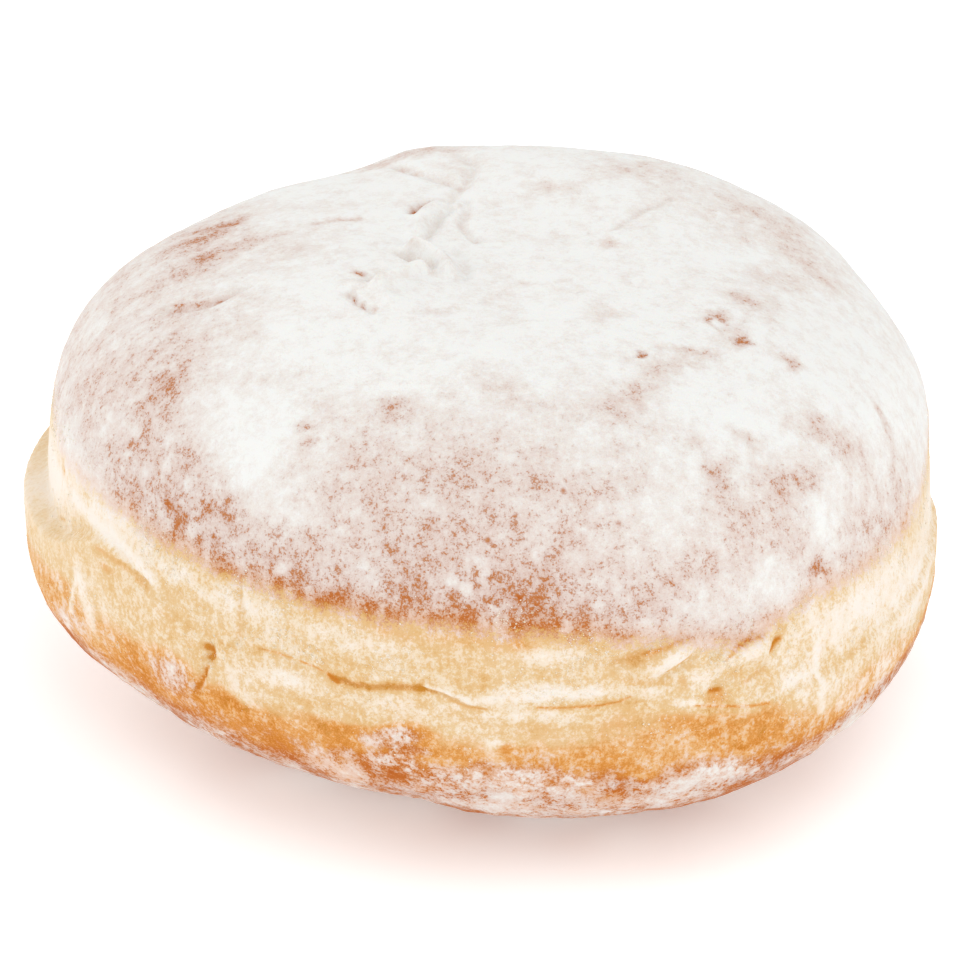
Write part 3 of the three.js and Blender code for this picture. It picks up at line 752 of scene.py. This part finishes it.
def makeGrains(skin):
    # Loose sugar: squashed crumbs of eight faces, strewn over the skin's quads by their area times a
    # density, each one at a random point of its quad and partly sunk along the quad's normal.
    random = np.random.default_rng(grains["seed"])
    count, place, height = grains["count"], skin["place"], skin["height"]
    right = np.roll(place, -1, axis=1)
    a, b, c, d = place[:-1], right[:-1], right[1:], place[1:]
    across = np.cross(c - a, d - b)
    area = np.linalg.norm(across, axis=-1) / 2
    density = grains["belt"] * (1 - skin["crust"]) * smooth(height, 12, 18)
    for label, (most, at, width) in (("aboveCrust", grains["rim"]), ("aboveSeam", grains["seam"])):
        density = density + most * bell(skin[label] - at, width)
    density = density[:-1]
    density = density * smooth(uneven(a, "grains"), -0.15, 0.45)
    density *= smooth(height[:-1], 3, 8) * smooth(skin["crack"][:-1], 0.3, 0.05)
    density *= 1 - grains["calmed"] * skin["calm"][:-1]
    weight = (area * density).ravel()
    chosen = random.choice(weight.size, count, p=weight / weight.sum())
    u, v = random.uniform(0, 1, (2, count, 1))
    a, b, c, d, across = (part.reshape(-1, 3)[chosen] for part in (a, b, c, d, across))
    normal = unit(across)
    radius = grains["radius"] * np.exp(grains["spread"] * random.normal(size=(count, 1)))
    radius = np.minimum(radius, grains["largest"])
    centre = (1 - v) * ((1 - u) * a + u * b) + v * ((1 - u) * d + u * c)
    centre = centre + (1 - grains["sunk"]) * radius * normal
    corners, faces = octahedron()
    aside = unit(np.cross(normal, random.normal(size=normal.shape)))
    turns = np.stack([aside, np.cross(normal, aside), normal], axis=-1)
    turned = np.einsum("nij,kj->nki", turns, corners * grains["shape"])
    vertices = (centre[:, None] + radius[:, None] * turned).reshape(-1, 3)
    allFaces = (faces + len(corners) * np.arange(count)[:, None, None]).reshape(-1, 3)
    print("sugar", count, "grains")
    return addMesh("sugarGrains", vertices, allFaces.tolist())


# Colours as sRGB hex, from bare to well covered, one row per tone.
colours = {
    "pale": ["c6862a", "ddb47b", "e2c396", "e7d0ae", "edddc8", "f1e8dd"],
    "golden": ["c6771e", "d99346", "e1aa6b", "e5be93", "ecd1b6", "f2e5d6"],
    "brown": ["b25710", "c16d27", "cf9669", "ddb8a0", "e6d2c6", "efe6de"],
    "pink": ["b75e18", "bf8052", "caa595", "dbc9c0", "e5ded8", "eeeeeb"],
    "sugar": ["f5e4c6", "f8ecd8", "fbf5ea"],
    "albedo": 0.9,
}


def linearColour(code, share=1.0):
    # sRGB hex to linear red, green, blue, alpha
    parts = [int(code[i : i + 2], 16) / 255 for i in (0, 2, 4)]
    parts = [p / 12.92 if p <= 0.04045 else ((p + 0.055) / 1.055) ** 2.4 for p in parts]
    return [share * part for part in parts] + [1]


def arithmetic(operation, swapped=False):
    # a method that joins two values by a Math node
    def method(first, second):
        inputs = {int(swapped): first, int(not swapped): second}
        return first.paint.node("ShaderNodeMath", {"operation": operation}, inputs)

    return method


class Socket:
    # one output of a node; arithmetic on it adds Math nodes
    def __init__(self, paint, output):
        self.paint = paint
        self.output = output

    __add__ = __radd__ = arithmetic("ADD")
    __mul__ = __rmul__ = arithmetic("MULTIPLY")
    __sub__ = arithmetic("SUBTRACT")
    __rsub__ = arithmetic("SUBTRACT", True)

    def between(self, low, high):
        # 0 below low and 1 above high, an S curve between
        settings = {"interpolation_type": "SMOOTHSTEP"}
        inputs = {"Value": self, "From Min": low, "From Max": high}
        return self.paint.node("ShaderNodeMapRange", settings, inputs)


class Paint:
    # a material and its nodes
    def __init__(self, name):
        self.material = bpy.data.materials.new(name)
        self.material.use_nodes = True
        self.tree = self.material.node_tree
        self.tree.nodes.clear()

    def node(self, kind, settings=None, inputs=None, output=0):
        # adds a node: settings first, with a ramp's stops among them, then values or links by socket
        made = self.tree.nodes.new(kind)
        for key, value in (settings or {}).items():
            if key == "stops":
                for _ in value[2:]:
                    made.color_ramp.elements.new(0.5)
                for element, (position, colour) in zip(made.color_ramp.elements, value):
                    element.position = position
                    element.color = colour
            else:
                setattr(made, key, value)
        for key, value in (inputs or {}).items():
            if isinstance(value, Socket):
                self.tree.links.new(value.output, made.inputs[key])
            else:
                made.inputs[key].default_value = value
        return Socket(self, made.outputs[output]) if made.outputs else None

    def attribute(self, name):
        # a value painted on the mesh
        return self.node("ShaderNodeAttribute", {"attribute_name": name}, output="Fac")

    def placeInMm(self):
        # the place on the object
        place = self.node("ShaderNodeTexCoord", output="Object")
        inputs = {0: place, "Scale": 1 / mm}
        return self.node("ShaderNodeVectorMath", {"operation": "SCALE"}, inputs)

    def noise(self, vector, size, detail, roughness):
        # soft random values about 0.5, with features of about that size
        inputs = {"Vector": vector, "Scale": 1 / size, "Detail": detail, "Roughness": roughness}
        return self.node("ShaderNodeTexNoise", None, inputs, "Fac")

    def cells(self, vector, size):
        # distance to the middle of the nearest cell, in shares of the size
        inputs = {"Vector": vector, "Scale": 1 / size}
        return self.node("ShaderNodeTexVoronoi", None, inputs, "Distance")

    def ramp(self, factor, codes):
        # colours at even steps from 0 to 1, joined in straight lines
        stops = []
        for i, code in enumerate(codes):
            stops.append((i / (len(codes) - 1), linearColour(code, colours["albedo"])))
        return self.node("ShaderNodeValToRGB", {"stops": stops}, {"Fac": factor})

    def blend(self, factor, a, b):
        # colour a where the factor is 0 and b where it is 1, by the Mix node's colour sockets
        return self.node("ShaderNodeMix", {"data_type": "RGBA"}, {0: factor, 6: a, 7: b}, 2)

    def surface(self, values):
            # adds the shader and the output, and returns the material
        shader = self.node("ShaderNodeBsdfPrincipled", None, values)
        self.node("ShaderNodeOutputMaterial", None, {"Surface": shader})
        return self.material


# The crust's mottling: sizes in mm; covers run from 0 to 1, noises about 0.
mottling = {
    "noises": {  # size, layers, roughness
        "cloud": (4.5, 3, 0.55),
        "blot": (1.4, 3, 0.6),
        "speck": (0.45, 3, 0.7),
        "fleck": (0.22, 2, 0.6),
        "grain": (0.14, 2, 0.6),
    },
    "streak": (1.0, 3, 0.6),
    "streakSquash": (1, 1, 0.4),
    "poreSize": 3.4,
    "blobSize": 2.6,
    "soft": {"cloud": 0.45, "blot": 0.5, "speck": 0.4, "grain": 0.3},  # share of each noise
    "picked": {
        "fleck": 0.48, "speck": 0.5, "grain": 0.2, "blot": 0.3, "streak": 0.22, "cloud": 0.18,
        "blob": 0.08,
    },
    "haze": {"streak": 0.4, "blot": 0.4, "speck": 0.75, "fleck": 0.35, "grain": 0.15},
    "lacy": {"streak": 0.4, "blot": 0.7, "speck": 0.8, "fleck": 0.2},
    "edge": {"blot": 9, "speck": 13.5, "fleck": 9},
    "tone": {"blot": 2, "speck": 1.5},
    "bump": {"grain": 0.4, "speck": 1, "blot": 1},
    "bareMean": 0.62,  # cover with a middling number of bare specks
    "bareSlope": 0.3,
    "bareEdge": (-0.14, -0.045),
    "bareCover": 0.52,
    "poreDepth": 0.42,
    "gain": 0.11,
    "blobGain": 0.36,
    "filmMean": 0.54,
    "filmSlope": 0.4,
    "filmEdge": (-0.11, 0.13),
    "filmDepth": 0.32,
    "filmBrowned": 0.14,
    "shadow": 0.2,
    "bumpStrength": 0.5,
    "bumpDepth": 0.12,
    "roughness": 0.9,
    "glow": 0.08,
    "glowReach": (1.0, 0.55, 0.3),
    "glowScale": 1.2,
    "specular": 0.2,
}


def crustPaint():
    # The colour's level is the painted cover plus sums of noises, which count most where the cover is
    # thin; the tone picks between the rows of colours.
    look = mottling
    paint = Paint("crust")
    inMm = paint.placeInMm()
    inputs = {0: inMm, 1: look["streakSquash"]}
    upright = paint.node("ShaderNodeVectorMath", {"operation": "MULTIPLY"}, inputs)
    names = ("cover", "tone", "crust", "patchy", "calm", "rim", "shadow")
    cover, tone, crust, patchy, calm, rim, shadow = (paint.attribute(name) for name in names)

    noises = {name: paint.noise(inMm, *row) - 0.5 for name, row in look["noises"].items()}
    noises["streak"] = paint.noise(upright, *look["streak"]) - 0.5
    cloud = noises["cloud"]
    pores = paint.cells(inMm, look["poreSize"])
    blobs = paint.cells(inMm, look["blobSize"])
    blob = noises["blob"] = (1 - blobs.between(0.1, 0.4)) * cloud.between(-0.04, 0.04)

    def mixed(name):
        # sum of the noises times their shares
        first, *rest = [noises[key] * share for key, share in look[name].items()]
        return sum(rest, first)

    held = cover.between(0, 0.25)
    soft = mixed("soft") * ((1 - cover.between(0.7, 1.02) * 0.1) * (1 - calm * 0.6))

    # crown and foot: sugar with bare specks, pores and thicker blobs
    bareness = mixed("picked") + (cover - look["bareMean"]) * look["bareSlope"]
    bare = 1 - bareness.between(*look["bareEdge"])
    pore = (1 - pores.between(0.03, 0.13)) * cloud.between(-0.02, 0.05)
    pore = pore * (1 - cover.between(0.66, 0.85))
    gain = (1 - cover) * (look["gain"] + blob * look["blobGain"])
    sugared = cover + gain - pore * look["poreDepth"]
    thick = cover.between(0.6, 0.95) * 0.34
    picky = sugared + bare * (cover * look["bareCover"] + thick - sugared) * 0.92

    # belt: golden dough under a film of sugar with ragged edges
    browned = tone.between(0.3, 1)
    haze = mixed("haze")
    fromMean = cover - look["filmMean"]
    film = haze + browned * (mixed("lacy") - haze) + fromMean * look["filmSlope"]
    film = film.between(*look["filmEdge"])
    squeeze = cover.between(0.1, 0.4) * (1 - calm * 0.8)
    squeezed = cover - fromMean * 0.36 * squeeze
    depth = (look["filmDepth"] + browned * look["filmBrowned"]) * (1 - calm * 0.75)
    filmy = squeezed + (film - 0.5) * depth

    mild = patchy * (1 - crust * cover.between(0.4, 0.7) * 0.26)
    change = soft + filmy - cover + patchy * (cover - filmy) + mild * (picky - cover)
    level = cover - shadow * look["shadow"] * patchy + held * change
    edge = (crust + mixed("edge") * crust * (1 - crust)).between(0.2, 0.8)
    toneLevel = tone + mixed("tone") * tone.between(0, 0.6)

    rows = {name: paint.ramp(level, colours[name]) for name in ("pale", "golden", "brown", "pink")}
    skin = rows["pale"]
    for step, name in enumerate(("golden", "brown", "pink")):
        skin = paint.blend(toneLevel.between(step, step + 1), skin, rows[name])
    skin = paint.blend(edge, skin, paint.blend(rim, rows["pink"], rows["brown"]))

    height = (mixed("bump") - bare * patchy * 0.3) * (1 - calm * 0.9)
    depth = look["bumpDepth"] * mm
    inputs = {"Strength": look["bumpStrength"], "Distance": depth, "Height": height}
    values = {
        "Base Color": skin,
        "Roughness": look["roughness"] - shadow.between(0.2, 0.9) * 0.2,
        "Normal": paint.node("ShaderNodeBump", None, inputs),
        "Subsurface Weight": look["glow"],
        "Subsurface Radius": look["glowReach"],
        "Subsurface Scale": look["glowScale"] * mm,
        "Specular IOR Level": look["specular"],
    }
    return paint.surface(values)


crumbs = {"noise": (0.9, 3, 0.7), "shades": (0.35, 0.65), "roughness": 0.8, "specular": 0.2}


def sugarPaint():
    # white crumbs, some a little creamier than others
    paint = Paint("sugar")
    shade = paint.noise(paint.placeInMm(), *crumbs["noise"]).between(*crumbs["shades"])
    values = {
        "Base Color": paint.ramp(shade, colours["sugar"]),
        "Roughness": crumbs["roughness"],
        "Specular IOR Level": crumbs["specular"],
    }
    return paint.surface(values)


def dress(piece, material):
    # gives the piece its material and its body
    piece.data.materials.append(material)
    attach(piece, "root")


bunPiece, bunSkin = makeBun()
dress(bunPiece, crustPaint())
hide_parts("doughnut")
dress(makeGrains(bunSkin), sugarPaint())

# Floor, light and camera.
studio = {
    "floorSide": 6.0,
    "floorColour": "fbfbfb",
    "floorRoughness": 0.9,
    "floorGlow": 0.24,  # the floor is lit from below, as a light table is
    "worldStrength": 0.8,
    "lights": {  # power in watts, size and place in metres
        "key": (3.2, 0.9, (0.3, -0.4, 0.85)),
        "left": (2.0, 0.8, (-0.85, -0.35, 0.25)),
        "right": (1.2, 0.8, (0.85, -0.45, 0.2)),
        "back": (1.6, 0.7, (-0.6, 0.6, 0.5)),
    },
    "elevation": 27.0,
    "distance": 0.52,
    "aimHeight": 24.64,  # mm
    "lens": 188.96,
    "sensor": 36.0,
    "clip": (0.01, 20),
}


def makeFloor():
    # a square about the origin at height 0, which is only the stage
    half = studio["floorSide"] / 2 / mm
    corners = [(-half, -half, 0), (half, -half, 0), (half, half, 0), (-half, half, 0)]
    floor = addMesh("floor", corners, [(0, 1, 2, 3)])
    values = {
        "Base Color": linearColour(studio["floorColour"]),
        "Roughness": studio["floorRoughness"],
        "Specular IOR Level": 0.1,
        "Emission Color": (1, 1, 1, 1),
        "Emission Strength": studio["floorGlow"],
    }
    floor.data.materials.append(Paint("floor").surface(values))


def aim(name, data, place, target):
    # an object at a place, looking at the target
    obj = addObject(name, data)
    obj.location = place
    look = target - obj.location
    obj.rotation_euler = look.to_track_quat("-Z", "Y").to_euler()
    return obj


def makeStudio():
    # Floor, lights, a white world, and a camera that stands back from the target by the distance
    # times the slope's cosine and up by the distance times its sine.
    scene = bpy.context.scene
    makeFloor()
    target = bpy.data.objects["bun"].location.copy()
    target.z = studio["aimHeight"] * mm
    for name, (power, size, place) in studio["lights"].items():
        light = bpy.data.lights.new(name, "AREA")
        light.energy, light.size = power, size
        aim(name, light, place, target)

    world = bpy.data.worlds.new("studio")
    world.use_nodes = True
    sky = world.node_tree.nodes["Background"].inputs
    sky["Color"].default_value = (1, 1, 1, 1)
    sky["Strength"].default_value = studio["worldStrength"]
    scene.world = world

    camera = bpy.data.cameras.new("camera")
    camera.lens = studio["lens"]
    camera.sensor_width = studio["sensor"]
    camera.clip_start, camera.clip_end = studio["clip"]
    slope = math.radians(studio["elevation"])
    back, up = studio["distance"] * math.cos(slope), studio["distance"] * math.sin(slope)
    place = (target.x, target.y - back, target.z + up)
    scene.camera = aim("camera", camera, place, target)
    scene.view_settings.view_transform = "Standard"
    print("studio made")


makeStudio()
